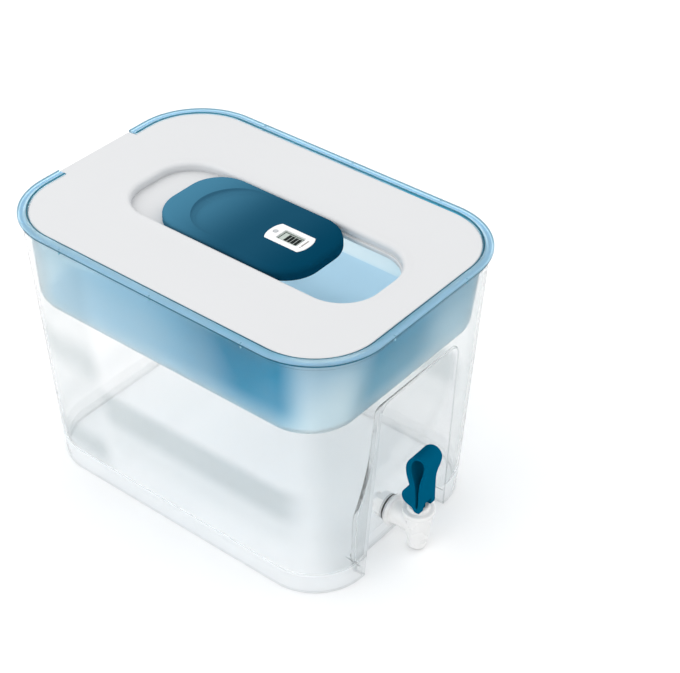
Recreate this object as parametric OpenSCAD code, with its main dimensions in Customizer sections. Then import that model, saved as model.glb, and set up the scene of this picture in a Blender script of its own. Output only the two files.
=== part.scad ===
// Gravity water filter: a clear tank with a tap, a hopper that hangs in it,
// a lid with a sliding cover, and a filter cartridge in the hopper's well.
// Front (tap side) is -Y, +Z is up, the base stands on z = 0.

/* [Rim and lid] */
// Length of the hopper's rim, front to back
rim_l = 365; // [361:1:369]
// Width of the hopper's rim
rim_w = 255.6; // [253:0.2:258]
// Corner radius of the rim
rim_r = 65.7; // [64:0.1:67]
// Height of the tank's top edge
tank_h = 253.2; // [253:0.1:253.6]
// Inset of the lid's edge from the rim's edge
lid_inset = 9.4; // [9.3:0.1:9.6]
// Width of the lift tab at the back of the lid
tab_w = 84; // [70:1:86]

/* [Tank] */
// Wall thickness of the tank
wall = 2.5; // [2.2:0.1:2.6]
// How much each side leans in from top to base
taper = 13.7; // [13:0.1:14]
// Height of the tank's floor above the ground, on its inside
floor_z = 14.5; // [14:0.5:15]
// Half width of the tap recess at the base
recess_w0 = 55.5; // [53:0.5:55.5]
// Half width of the tap recess at its top
recess_w1 = 50.8; // [49:0.1:52]

/* [Hopper] */
// Wall thickness of the hopper
hop_wall = 2.2; // [2:0.1:2.4]
// Height of the hopper's floor, on its outside
hop_z = 172; // [172:0.5:174]
// Radius of the well's bore
well_r = 31; // [30.8:0.1:31.2]
// Height of the well's lowest face
well_z = 97; // [95:0.5:97]

/* [Sliding cover] */
// Half width of the cover
cov_w = 44; // [43.5:0.1:44.3]
// Front end of the cover as it stands, from the tank's centre
cov_y0 = -77; // [-78:0.5:-76]
// Back end of the cover as it stands, from the tank's centre
cov_y1 = 79; // [78:0.5:80]
// Height of the cover's top
cov_z = 258; // [257.5:0.1:258.4]

/* [Tap] */
// Height of the tap's barrel above the ground
tap_z = 27; // [27:0.5:28]
// Distance of the spout's axis in front of the tank's centre
tap_y = 178; // [177:0.5:179]
// Width of the lever's loop
lever_w = 22.6; // [20:0.2:24]
// Height of the lever's pivot above the ground
pin_z = 56; // [56:0.1:56.4]

/* [Hidden] */

$fn = 48;
e = 0.01;
cn = 7;                       // segments in each large corner
y_mid = 4.75;                 // tank's centre behind the middle of the whole length
rim_z0 = tank_h;              // underside of the rim
rim_z1 = 255.6;               // top of the rim
lid_z = 254.8;                // top of the lid
over = 3.4;                   // rim overhang beyond the tank's wall
cart_y = 25;                  // centre of the well and the cartridge
rec_l0 = -136.5;              // front and back walls of the lid's recess
rec_l1 = 114;
rec_w = 45.5;                 // half width of the lid's recess
rec_r = 34.5;
ledge = 1;                    // floor left round the pour opening
seat_z = 22;                  // valve seat in the tap
yw = -149.5;                  // face that the tap is fixed to

// ---------------------------------------------------------------- helpers

// rounded rectangle, counter-clockwise, x from -a to a, y from y0 to y1
// (rb is the radius of the two corners at y1)
function rr(a, y0, y1, r, n = cn, rb = 0) = [for (q = [0:3]) for (i = [0:n])
  let (t = 90*q + 90*i/n, k = (q < 2 && rb > 0) ? rb : r,
       cx = (q == 0 || q == 3) ? a - k : k - a,
       cy = (q < 2) ? y1 - k : y0 + k)
  [cx + k*cos(t), cy + k*sin(t)]];

// the same outline at a height
function lift(p, z) = [for (v = p) [v[0], v[1], z]];

// skin through rings of equal count; caps close its two ends
module loft(rings) {
  n = len(rings[0]);
  m = len(rings);
  pts = [for (r = rings) for (p = r) p];
  sides = [for (k = [0:m-2]) for (i = [0:n-1]) let (j = (i+1)%n)
    each [[k*n+i, (k+1)*n+i, (k+1)*n+j], [k*n+i, (k+1)*n+j, k*n+j]]];
  polyhedron(points = pts, convexity = 8,
    faces = concat([[for (i = [0:n-1]) i]], sides,
                   [[for (i = [n-1:-1:0]) (m-1)*n+i]]));
}

// value of a piecewise linear table [[x, y], ...] at x
function tab(t, x) = x <= t[0][0] ? t[0][1] : x >= t[len(t)-1][0] ? t[len(t)-1][1] :
  let (k = max([for (i = [0:len(t)-2]) if (t[i][0] <= x) i]))
  t[k][1] + (t[k+1][1] - t[k][1])*(x - t[k][0])/(t[k+1][0] - t[k][0]);

module here() translate([0, y_mid, 0]) children();

// hexagonal or round bar along Y
module ybar(r, y0, y1, z = tap_z, f = 48) translate([0, y0, z]) rotate([-90, 0, 0]) cylinder(r = r, h = y1-y0, $fn = f);
module xbar(r, w, y, z, f = 48) translate([-w/2, y, z]) rotate([0, 90, 0]) cylinder(r = r, h = w, $fn = f);
module ring2(r1, r0, z0, z1) difference() {
  translate([0, 0, z0]) cylinder(r = r1, h = z1-z0);
  translate([0, 0, z0-1]) cylinder(r = r0, h = z1-z0+2);
}

// ---------------------------------------------------------------- tank

// the recess round the tap: [height, half width] and [height, y of its back]
rec_hw = [[0, recess_w0], [175, recess_w1], [179, recess_w1-0.9], [182.5, recess_w1-3], [185, recess_w1-6.5], [186, recess_w1-11]];
rec_y = [[0, yw], [50, yw], [62, -151.6], [80, -156.3], [100, -160.8], [117, -164.2],
         [130, -166], [150, -167.8], [170, -169.2], [179, -170.6], [182.5, -172], [185, -174], [186, -175.2]];

function t_a(z) = rim_w/2 - over - taper*(1 - z/tank_h);
function t_b(z) = rim_l/2 - over - taper*(1 - z/tank_h);
function t_r(z) = 60.9 - 9.3*(1 - z/tank_h);

// one ring of the tank: o is the inset of the outline, s that of the recess
function t_ring(z, o, s) = let (
    a = t_a(z) - o, b = t_b(z) - o, r = t_r(z) - o, q = rr(a, -b, b, r), c = cn + 1,
    open = z < 186.01,
    hw = tab(rec_hw, z) + s, yb = max(tab(rec_y, z) + s, -b + 0.3), d = yb + b,
    rf = s > 0 ? 0.8 : min(1.5, d*0.4), rb = min(9, d*0.55),
    f = s > 0 ? min(rf, d*0.3) : rf,
    notch = open ? concat(
      [for (i = [0:3]) let (t = -90 + 30*i) [-hw - f + f*cos(t), -b + f + f*sin(t)]],
      [for (i = [0:5]) let (t = 180 - 18*i) [-hw + rb + rb*cos(t), yb - rb + rb*sin(t)]],
      [for (i = [0:5]) let (t = 90 - 18*i) [hw - rb + rb*cos(t), yb - rb + rb*sin(t)]],
      [for (i = [0:3]) let (t = 180 + 30*i) [hw + f + f*cos(t), -b + f + f*sin(t)]])
    : [for (i = [0:19]) [-42 + 84*i/19, -b]])
  lift(concat([for (i = [0:3*c-1]) q[i]], notch, [for (i = [3*c:4*c-1]) q[i]]), z);

// a ring far enough in to pass behind the recess
function in_ring(z, o) = let (q = t_ring(z, o, wall), w = t_ring(z, wall, wall), c = cn + 1, b = t_b(z) - o)
  [for (i = [0:len(q)-1]) i < 3*c || i >= 3*c + 20 ? q[i] :
    let (k = i - 3*c, m = min(k, 19 - k)) [w[i][0] + (k < 10 ? -1 : 1)*0.04*(10 - m), -b, z]];

rec_steps = [50, 62, 80, 100, 117, 130, 150, 170, 175, 179, 182.5, 185, 186, 186.4];

module tank_wall() loft(concat(
  [in_ring(floor_z - wall, 21), t_ring(floor_z - wall, wall, wall), t_ring(0, wall, wall), t_ring(0, 0.4, 0.4), t_ring(0.5, 0, 0)],
  [for (z = rec_steps) t_ring(z, 0, 0)],
  [t_ring(249.2, 0, 0), t_ring(250, -1.5, 0), t_ring(tank_h - 0.6, -1.5, 0), t_ring(tank_h, -0.9, 0),
   t_ring(tank_h, wall - 0.6, wall), t_ring(tank_h - 0.6, wall, wall)],
  [for (i = [len(rec_steps)-1:-1:0]) t_ring(rec_steps[i] + (i > 6 ? 0.01*i : 0), wall, wall)],
  [for (t = [0, 30, 60, 90]) t_ring(floor_z + 9*(1 - sin(t)), wall + 9*(1 - cos(t)), wall)],
  [in_ring(floor_z, 21)]));

module tank() color([0.86, 0.92, 0.95, 0.45]) here() difference() {
  tank_wall();
  ybar(7.7, yw - 3, yw + wall + 3);
}

// ---------------------------------------------------------------- hopper

function rim(d, z) = lift(rr(rim_w/2 - d, -rim_l/2 + d, rim_l/2 - d, rim_r - d), z);
function mix(a, b, t) = a + (b - a)*t;
// the hopper's side: leans in as it goes down, and further in over the tap recess
function h_ring(z, o) = let (t = min(max((z - 176)/70, 0), 1))
  lift(rr(mix(115.35, 119, t) - o, mix(-163, -173.7, t) + o, mix(170.05, 173.7, t) - o,
          max(mix(45, 56.9, t) - o, 8), rb = max(mix(51, 57.4, t) - o, 8)), z);

module hopper_shell() loft(concat(
  [for (t = [0, 30, 60, 90]) h_ring(hop_z + 12*(1 - cos(t)), 12*(1 - sin(t)))],
  [h_ring(246, 0), rim(6.8, 247.5), rim(6.8, rim_z0), rim(0.6, rim_z0), rim(0, rim_z0 + 0.5),
   rim(0, rim_z1 - 0.6), rim(0.6, rim_z1), rim(8.5, rim_z1), rim(9, rim_z1 - 0.5),
   rim(9, 248), rim(11.1, 248), h_ring(245.6, hop_wall)],
  [for (t = [90, 60, 30, 0]) h_ring(hop_z + hop_wall + 9.8*(1 - cos(t)), hop_wall + 9.8*(1 - sin(t)))]));

module hopper() color([0.45, 0.68, 0.84, 0.6]) here() {
  difference() {
    hopper_shell();
    // gap in the rim for the lid's tab
    translate([-tab_w/2 - 1, rim_l/2 - 9.2, 252.4]) cube([tab_w + 2, 20, 10]);
    translate([0, cart_y, hop_z - 5]) cylinder(r = well_r, h = 20, $fn = 72);
  }
  // well for the cartridge, with outlet holes in its floor
  translate([0, cart_y, 0]) difference() {
    translate([0, 0, well_z]) cylinder(r = well_r + 2, h = hop_z - well_z + 0.6, $fn = 72);
    translate([0, 0, well_z + 2]) cylinder(r = well_r, h = 100, $fn = 72);
    for (i = [0:7]) rotate([0, 0, 45*i]) translate([16, 0, well_z - 1]) cylinder(r = 3, h = 5, $fn = 24);
  }
  // locating ribs under the rim, outside the tank's top bead
  for (y = [-98, -4, 95], s = [-1, 1]) translate([s*(rim_w/2 - 1) - 0.65, y - 0.7, rim_z0 - 2.4]) cube([1.3, 1.4, 2.6]);
  for (x = [-47, 47]) translate([x - 0.7, -rim_l/2 + 0.35, rim_z0 - 2.4]) cube([1.4, 1.3, 2.6]);
}

// ---------------------------------------------------------------- lid

function rec(o, z, y0 = rec_l0, y1 = rec_l1) = lift(rr(rec_w - o, y0 + o, y1 - o, rec_r - o), z);
function hole(o) = let (w = rec_w - ledge - o, y0 = rec_l0 + ledge + o, r = 33) concat(
  [for (i = [0:4]) let (t = 22.5*i) [w - 8 + 8*cos(t), -46 - 8 - o + 8*sin(t)]],
  [for (i = [0:4]) let (t = 90 + 22.5*i) [8 - w + 8*cos(t), -46 - 8 - o + 8*sin(t)]],
  [for (i = [0:8]) let (t = 180 + 11.25*i) [r - w + r*cos(t), y0 + r + r*sin(t)]],
  [for (i = [0:8]) let (t = 270 + 11.25*i) [w - r + r*cos(t), y0 + r + r*sin(t)]]);

module lid() color([0.92, 0.93, 0.94]) here() {
  difference() {
    loft([rim(lid_inset + 1.6, lid_z - 2.2), rim(lid_inset + 1.6, 248), rim(lid_inset, 248),
          rim(lid_inset, lid_z - 0.9), rim(lid_inset + 0.3, lid_z - 0.3), rim(lid_inset + 1, lid_z)]);
    loft([rec(-5.5, lid_z - 8), rec(-5.5, lid_z + 5)]);
  }
  difference() {
    loft(concat(
      [rec(-2.4, 244.8), rec(-2.4, 250), rec(-3.6, 252.6), rec(-8, 252.9), rec(-8, lid_z + 0.2), rec(-5.6, lid_z + 0.5)],
      // rolled edge, a little proud of the lid's top
      [for (t = [0, 22.5, 45, 67.5, 90]) rec(-3.9 + 3.9*sin(t), lid_z + 0.6 - 3.9 + 3.9*cos(t))],
      [rec(0, 246.8)]));
    translate([0, 0, 240]) linear_extrude(10) polygon(hole(0));
    // grooves that hold the cover's tongues
    for (s = [-1, 1]) translate([s*(rec_w + 0.1) - 1.2, -100, 246.8]) cube([2.4, 184, 2.3]);
  }
  // turned-down lip of the pour opening
  translate([0, 0, 243]) linear_extrude(2) difference() { polygon(hole(-1.5)); polygon(hole(0)); }
  // lift tab
  hull() for (s = [-1, 1]) {
    translate([s*(tab_w/2 - 3), rim_l/2 - 3, 253.4]) cylinder(r = 3, h = 1.4, $fn = 32);
    translate([s*(tab_w/2 - 0.5), rim_l/2 - 12, 253.4]) cylinder(r = 0.5, h = 1.4, $fn = 16);
  }
}

// ---------------------------------------------------------------- sliding cover

function cov(o, z) = lift(rr(cov_w - o, cov_y0 + o, cov_y1 - o, 33 - o), z);

module slider() color([0.06, 0.36, 0.52]) here() {
  difference() {
    loft(concat([cov(0.5, 247), cov(0, 247.5)],
      [for (t = [0, 22.5, 45, 67.5, 90]) cov(5.5*(1 - cos(t)), cov_z - 5.5 + 5.5*sin(t))]));
    // underside, deeper in front for the indicator
    intersection() {
      translate([0, 0, 246]) linear_extrude(9.6) polygon(rr(cov_w - 2.2, cov_y0 + 2.2, cov_y1 - 2.2, 30.8));
      translate([-60, -100, 246]) cube([120, 103, 9.6]);
    }
    intersection() {
      translate([0, 0, 246]) linear_extrude(4.4) polygon(rr(cov_w - 2.2, cov_y0 + 2.2, cov_y1 - 2.2, 30.8));
      translate([-60, 5, 246]) cube([120, 100, 4.4]);
    }
    // finger scoop, deepest at its back wall
    translate([0, 8, cov_z]) rotate([-6.6, 0, 0]) translate([0, 9.3, 0]) cylinder(r = 38, h = 15, $fn = 96);
    // window for the indicator
    translate([0, 0, 250]) linear_extrude(12) polygon(memo_out(-0.15));
  }
  // tongues in the lid's grooves
  for (s = [-1, 1]) translate([s*(cov_w + 0.75) - 1.1, -40, 247]) cube([2.2, 80, 1.7]);
}

// ---------------------------------------------------------------- filter-change indicator

memo_y0 = -60;
memo_y1 = -19;
// outline of the indicator: straight sides, bowed ends
function memo_out(o) = let (w = 12 - o) concat(
  [for (i = [0:8]) let (t = i/8, x = w*(1 - 2*t)) [x, memo_y1 - o - 3.4*pow(abs(x)/12, 2.6)]],
  [for (i = [0:8]) let (t = i/8, x = w*(2*t - 1)) [x, memo_y0 + o + 3.4*pow(abs(x)/12, 2.6)]]);

module memo_housing() color([0.95, 0.95, 0.95]) here() difference() {
  union() {
    translate([0, 0, 250]) linear_extrude(cov_z + 0.5 - 250) polygon(memo_out(0));
    // flange under the cover's roof
    translate([0, 0, 254.2]) linear_extrude(1.3) polygon(memo_out(-1.6));
  }
  translate([0, 0, 249]) linear_extrude(cov_z - 0.9 - 249) polygon(memo_out(1.4));
  translate([-6.8, -51.5, 250]) cube([13.6, 21.5, 12]);
  translate([0, -24.6, 250]) cylinder(r = 2.3, h = 12);
}
module memo_display() color([0.2, 0.22, 0.22]) here()
  translate([-8.2, -53, 256]) cube([16.4, 24, 1]);
module memo_button() color([0.72, 0.73, 0.74]) here() translate([0, -24.6, 0]) {
  translate([0, 0, 255.4]) cylinder(r = 2, h = cov_z + 0.9 - 255.4);
  translate([0, 0, 255.4]) cylinder(r = 2.8, h = 0.8);
}
module memo_board() color([0.1, 0.4, 0.2]) here()
  translate([-9.2, -55, 253.2]) cube([18.4, 31.5, 1.2]);
module memo_battery() color([0.75, 0.76, 0.78]) here()
  translate([0, -40, 250.8]) cylinder(r = 6.3, h = 2.3);
module memo_back_cover() color([0.93, 0.93, 0.93]) here() union() {
  translate([0, 0, 248.6]) linear_extrude(1.4) polygon(memo_out(0));
  translate([0, 0, 249.9]) linear_extrude(0.8) polygon(memo_out(1.5));
}

// ---------------------------------------------------------------- cartridge

module cart() here() translate([0, cart_y, 0]) children();

module cartridge_body() color([0.42, 0.60, 0.68]) cart() difference() {
  union() {
    translate([0, 0, 100]) cylinder(r = 29.3, h = 76.5, $fn = 72);
    translate([0, 0, 176]) cylinder(r = 36, h = 2, $fn = 72);
  }
  translate([0, 0, 101.6]) cylinder(r = 27.7, h = 90, $fn = 72);
  for (i = [0:5]) rotate([0, 0, 60*i]) translate([15, 0, 99]) cylinder(r = 3.5, h = 5, $fn = 24);
}
module cartridge_cap() color([0.95, 0.95, 0.93]) cart() {
  difference() {
    rotate_extrude($fn = 72) polygon([[33.5, 178.05], [33.5, 180], [30.5, 182], [29.5, 192],
      [27.5, 195.5], [23.5, 197.5], [17.5, 198.2], [16, 196.4], [0, 195.9],
      [0, 194.3], [17, 194.8], [24, 195.7], [27.2, 191.5], [28.5, 180.5], [28.5, 178.05]]);
    for (i = [0:11]) rotate([0, 0, 30*i + 15]) translate([24, -1.4, 184]) cube([10, 2.8, 6.5]);
  }
  // ears for the pull ring, just behind it
  for (s = [-1, 1]) translate([s*8.1, 17.2, 0]) difference() {
    translate([-1.3, -2.6, 196.6]) cube([2.6, 5.2, 7.2]);
    translate([-3, 0, 201.3]) rotate([0, 90, 0]) cylinder(r = 1.38, h = 6, $fn = 32);
  }
}
module cartridge_ring() color([0.93, 0.94, 0.94]) cart() {
  translate([0, 2, 199.9]) difference() {
    cylinder(r = 13.6, h = 2.8, $fn = 64);
    translate([0, 0, -1]) cylinder(r = 10, h = 5, $fn = 64);
  }
  difference() {
    translate([-6.4, 12.2, 199.9]) cube([12.8, 5, 2.8]);
    translate([0, 2, 198]) cylinder(r = 10, h = 7, $fn = 64);
  }
  translate([-9.2, 17.2, 201.3]) rotate([0, 90, 0]) cylinder(r = 1.3, h = 18.4, $fn = 32);
}
module cartridge_media() color([0.25, 0.22, 0.2]) cart()
  translate([0, 0, 102.5]) cylinder(r = 27.5, h = 65.5, $fn = 72);
module cartridge_mesh(z) cart() difference() {
  translate([0, 0, z]) cylinder(r = 27.6, h = 0.8, $fn = 72);
  for (a = [0:5], k = [1:2]) rotate([0, 0, 60*a + 30*k]) translate([9*k, 0, z - 1]) cylinder(r = 2.6, h = 3, $fn = 16);
}
module cartridge_mesh_top() color([0.8, 0.82, 0.84]) cartridge_mesh(168.1);
module cartridge_mesh_bottom() color([0.8, 0.82, 0.84]) cartridge_mesh(101.65);
module cartridge_seal() color([0.3, 0.32, 0.34]) cart() ring2(35.4, 31.6, 174.25, 175.95);

// ---------------------------------------------------------------- tap

module tap() here() translate([0, -tap_y, 0]) children();

module tap_body() color([0.95, 0.95, 0.95]) here() difference() {
  union() {
    translate([0, -tap_y, 0]) rotate_extrude($fn = 72) polygon([[0, 3.2], [7.6, 3.2], [8.4, 4],
      [9.9, 17], [11, 26], [12.1, 33.5], [12.7, 36.8], [12.7, 38.4], [0, 38.4]]);
    ybar(11, -tap_y, yw - 5.2);
    ybar(14.5, yw - 5.2, yw - 2.1);
    ybar(7.3, yw - 2.2, yw + 19);
    // thread on the shank
    for (i = [0:5]) ybar(7.55, yw + 5 + 2.3*i, yw + 6.1 + 2.3*i);
  }
  // outlet, valve chamber and inlet passage
  translate([0, -tap_y, 0]) {
    translate([0, 0, -1]) cylinder(r = 5.2, h = 60);
    translate([0, 0, seat_z]) cylinder(r = 9.2, h = 40);
  }
  ybar(5, -tap_y, yw + 30);
}
module tap_bonnet() color([0.96, 0.96, 0.96]) tap() difference() {
  union() {
    rotate_extrude($fn = 72) polygon([[0, 38.5], [12.6, 38.5], [13.6, 39.4], [14, 42.4], [13.2, 44],
      [10.3, 44.1], [9.4, 45.6], [8.9, 47.2], [8.2, 47.6], [0, 47.6]]);
    translate([0, 0, 33]) cylinder(r = 9, h = 6);
  }
  translate([0, 0, 30]) cylinder(r = 5.35, h = 20);
  translate([0, 0, 30]) cylinder(r = 7.6, h = 6);
}
module tap_stem() color([0.02, 0.34, 0.5]) tap() difference() {
  union() {
    translate([0, 0, seat_z + 3]) cylinder(r = 5.2, h = pin_z + 5.5 - seat_z - 3);
    translate([0, 0, seat_z + 1.1]) cylinder(r = 3.4, h = 4);
    translate([0, 0, seat_z + 4]) cylinder(r = 7.3, h = 1.4);
  }
  xbar(1.7, 20, 0, pin_z);
  ring2(8, 4.2, 37.3, 38.7);
}
module tap_stem_ring() color([0.15, 0.15, 0.16]) tap() translate([0, 0, 38])
  rotate_extrude($fn = 48) translate([4.75, 0]) circle(r = 0.55, $fn = 24);
module tap_valve_seal() color([0.82, 0.83, 0.84]) tap() difference() {
  translate([0, 0, seat_z + 0.05]) cylinder(r = 7.6, h = 2.9);
  translate([0, 0, seat_z + 1]) cylinder(r = 3.42, h = 5);
}
// compression spring between the stem's collar and the bonnet
module tap_spring() color([0.75, 0.76, 0.78]) tap() {
  n = 6; turns = 5; r = 6.55; w = 0.45; z0 = seat_z + 6; z1 = 35.4; steps = 12*turns;
  loft([for (k = [0:steps]) let (a = 30*k, z = z0 + (z1 - z0)*k/steps)
    [for (i = [0:n-1]) let (t = 60*i) [(r + w*cos(t))*cos(a), (r + w*cos(t))*sin(a), z - w*sin(t)]]]);
}
// closed smooth curve through the points p, n steps between each two
function smooth(p, n = 4) = let (m = len(p)) [for (i = [0:m-1]) for (j = [0:n-1])
  let (t = j/n, a = p[(i+m-1)%m], b = p[i], c = p[(i+1)%m], d = p[(i+2)%m])
  0.5*(2*b + (c - a)*t + (2*a - 5*b + 4*c - d)*t*t + (3*b - a - 3*c + d)*t*t*t)];

// side view of the lever as [y from the spout's axis, height]: a loop drawn in
// to two cheeks, a lobe behind the pivot and a foot in front of it
lever_out = [[-13.4, 99.5], [-12.9, 103.9], [-10.2, 107.5], [-5.8, 109], [-1.4, 107.9], [2.6, 104.8],
  [5.5, 100.4], [7, 95.5], [7.1, 90.5], [6, 84.5], [4.2, 79], [3.2, 75.6], [4.4, 72.2], [7.6, 68.6],
  [9.8, 64.8], [10.3, 60.8], [9, 57], [5.9, 54.4], [3.2, 53.5], [0.8, 52.8], [-1, 51.9], [-1.9, 50.4],
  [-3.1, 49], [-5.4, 48.6], [-7.6, 48.8], [-8.5, 50], [-8.6, 53], [-8.5, 60], [-8.4, 69], [-8.6, 77],
  [-9.9, 85], [-12, 92]];
// its eye, which runs out below in a narrow slit
lever_eye = [[-10.9, 100.5], [-10.3, 104], [-8.2, 106.3], [-5, 106.5], [-1.9, 104.9], [0.4, 101.8],
  [1.5, 97.5], [1.3, 92.5], [0, 86.5], [-1.8, 80.5], [-3.1, 74.5], [-3.8, 67], [-4.1, 59],
  [-4.5, 54.4], [-5.3, 53.4], [-6.1, 54.4], [-6.5, 59], [-6.5, 67], [-6.6, 75], [-7.3, 82],
  [-8.8, 88.5], [-10.3, 94.5]];
// a plate seen from the side, w wide
module side_plate(p, w) translate([-w/2, 0, 0]) rotate([90, 0, 90]) linear_extrude(w) polygon(p);

module tap_lever() color([0.0, 0.34, 0.50]) tap() difference() {
  translate([0, 0, pin_z - 56]) difference() {
    side_plate(smooth(lever_out), lever_w);
    side_plate(smooth(lever_eye), 40);
  }
  // slot for the stem between the two cheeks, closed in front above the pin
  translate([-5.7, -30, 30]) cube([11.4, 60, pin_z - 30]);
  translate([-5.7, -7.3, pin_z - 1]) cube([11.4, 60, 9]);
  xbar(1.72, 40, 0, pin_z);
}
module tap_lever_pin() color([0.8, 0.81, 0.82]) tap() xbar(1.65, lever_w - 1, 0, pin_z);
module tap_gasket_outer() color([0.55, 0.56, 0.57]) here() difference() {
  ybar(13.2, yw - 2.1, yw); ybar(7.75, yw - 5, yw + 5);
}
module tap_gasket_inner() color([0.55, 0.56, 0.57]) here() difference() {
  ybar(12, yw + wall, yw + wall + 2); ybar(7.75, yw - 5, yw + 10);
}
module tap_nut() color([0.94, 0.94, 0.94]) here() difference() {
  translate([0, yw + wall + 2, tap_z]) rotate([-90, 0, 0]) cylinder(r = 12.2, h = 7.5, $fn = 6);
  ybar(7.6, yw - 5, yw + 40);
}

tank();
hopper();
lid();
slider();
memo_housing();
memo_display();
memo_button();
memo_board();
memo_battery();
memo_back_cover();
cartridge_body();
cartridge_cap();
cartridge_ring();
cartridge_media();
cartridge_mesh_top();
cartridge_mesh_bottom();
cartridge_seal();
tap_body();
tap_bonnet();
tap_stem();
tap_stem_ring();
tap_lever();
tap_lever_pin();
tap_valve_seal();
tap_spring();
tap_gasket_outer();
tap_gasket_inner();
tap_nut();
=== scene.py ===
import bpy, bmesh, math
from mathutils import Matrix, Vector


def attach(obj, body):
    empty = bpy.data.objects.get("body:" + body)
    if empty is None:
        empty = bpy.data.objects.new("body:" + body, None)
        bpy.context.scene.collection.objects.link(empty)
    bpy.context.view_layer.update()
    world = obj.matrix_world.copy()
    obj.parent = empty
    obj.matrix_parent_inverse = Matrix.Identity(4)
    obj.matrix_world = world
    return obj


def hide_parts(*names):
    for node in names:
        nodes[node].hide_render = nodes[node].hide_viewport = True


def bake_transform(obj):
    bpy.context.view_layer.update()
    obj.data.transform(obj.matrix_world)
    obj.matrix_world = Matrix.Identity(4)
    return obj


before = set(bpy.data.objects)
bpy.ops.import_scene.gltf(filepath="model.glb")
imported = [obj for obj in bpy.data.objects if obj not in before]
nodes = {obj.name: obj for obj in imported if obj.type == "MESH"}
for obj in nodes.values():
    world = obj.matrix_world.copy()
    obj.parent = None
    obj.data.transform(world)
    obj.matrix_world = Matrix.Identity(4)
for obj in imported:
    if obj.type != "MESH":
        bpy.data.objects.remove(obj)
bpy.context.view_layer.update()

MM = 0.001
YM = 4.75            # the tank's centre lies this far behind the middle of the whole length
RIM_L, RIM_W, RIM_R = 365.0, 255.6, 65.7
TANK_H, WALL = 253.2, 2.5
CART_Y = 25.0
TAP_Y, TAP_Z = -178.0, 27.0
YW = -149.5


def rad(d):
    return d * math.pi / 180.0


def lerp(a, b, t):
    return a + (b - a) * t


def clamp(x, a=0.0, b=1.0):
    return max(a, min(b, x))


# ------------------------------------------------------------------ mesh helpers

def make(name, verts, faces, sharp=32.0, merge=0.004, smooth=True):
    """A mesh object from tank-frame millimetres."""
    me = bpy.data.meshes.new(name)
    me.from_pydata([(x * MM, (y + YM) * MM, z * MM) for x, y, z in verts], [], faces)
    bm = bmesh.new()
    bm.from_mesh(me)
    if merge:
        bmesh.ops.remove_doubles(bm, verts=bm.verts, dist=merge * MM)
    bmesh.ops.recalc_face_normals(bm, faces=bm.faces)
    bm.to_mesh(me)
    bm.free()
    ob = bpy.data.objects.new(name, me)
    bpy.context.scene.collection.objects.link(ob)
    if smooth:
        shade(ob, sharp)
    return ob


def shade(ob, angle=32.0):
    me = ob.data
    for p in me.polygons:
        p.use_smooth = True
    me.set_sharp_from_angle(angle=rad(angle))


def loft(rings, cap0=True, cap1=True, loop=False):
    n = len(rings[0])
    verts = [tuple(p) for r in rings for p in r]
    faces = []
    m = len(rings)
    for k in range(m if loop else m - 1):
        a, b = k * n, ((k + 1) % m) * n
        for i in range(n):
            j = (i + 1) % n
            faces.append((a + i, b + i, b + j, a + j))
    if not loop:
        if cap0:
            faces.append(tuple(range(n)))
        if cap1:
            faces.append(tuple((m - 1) * n + i for i in reversed(range(n))))
    return verts, faces


def rr(a, y0, y1, r, n=14, rb=0.0, extra=()):
    """Rounded rectangle, counter-clockwise from the right. extra lists points on the back edge."""
    out = []
    for q in range(4):
        k = rb if (q < 2 and rb > 0) else r
        cx = a - k if q in (0, 3) else k - a
        cy = y1 - k if q < 2 else y0 + k
        for i in range(n + 1):
            t = rad(90 * q + 90.0 * i / n)
            out.append((cx + k * math.cos(t), cy + k * math.sin(t)))
        if q == 0 and extra:
            out += list(extra)
    return out


def at(p, z):
    return [(x, y, z) for x, y in p]


def lathe(profile, n=64, cy=0.0, cx=0.0, axis="z", z0=0.0):
    """Rings of a turned profile [(r, h), ...] round a vertical line at (cx, cy), or a horizontal one along y."""
    rings = []
    for r, h in profile:
        ring = []
        for i in range(n):
            t = 2 * math.pi * i / n
            if axis == "z":
                ring.append((cx + r * math.cos(t), cy + r * math.sin(t), h))
            elif axis == "y":
                ring.append((cx + r * math.cos(t), h, z0 + r * math.sin(t)))
            else:
                ring.append((h, cy + r * math.cos(t), z0 + r * math.sin(t)))
        rings.append(ring)
    return rings


def turned(name, profile, n=64, loop=True, sharp=32.0, **k):
    v, f = loft(lathe(profile, n, **k), cap0=not loop, cap1=not loop, loop=loop)
    return make(name, v, f, sharp)


def arc(cx, cy, r, a0, a1, n=6):
    return [(cx + r * math.cos(rad(lerp(a0, a1, i / n))), cy + r * math.sin(rad(lerp(a0, a1, i / n)))) for i in range(n + 1)]


def extrude_x(name, outline, w, holes=(), sharp=32.0, x0=None):
    """A solid from a (y, z) outline across x, with holes through it."""
    bm = bmesh.new()
    x0 = -w / 2 if x0 is None else x0
    loops = [outline] + list(holes)
    for lp in loops:
        vs = [bm.verts.new((x0 * MM, (y + YM) * MM, z * MM)) for y, z in lp]
        for i in range(len(vs)):
            bm.edges.new((vs[i], vs[(i + 1) % len(vs)]))
    bmesh.ops.triangle_fill(bm, use_beauty=True, use_dissolve=False, edges=bm.edges[:])
    bmesh.ops.dissolve_limit(bm, angle_limit=0.01, verts=bm.verts[:], edges=bm.edges[:])
    r = bmesh.ops.extrude_face_region(bm, geom=bm.faces[:])
    bmesh.ops.translate(bm, verts=[g for g in r["geom"] if isinstance(g, bmesh.types.BMVert)], vec=(w * MM, 0, 0))
    bmesh.ops.recalc_face_normals(bm, faces=bm.faces[:])
    me = bpy.data.meshes.new(name)
    bm.to_mesh(me)
    bm.free()
    ob = bpy.data.objects.new(name, me)
    bpy.context.scene.collection.objects.link(ob)
    shade(ob, sharp)
    return ob


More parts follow.
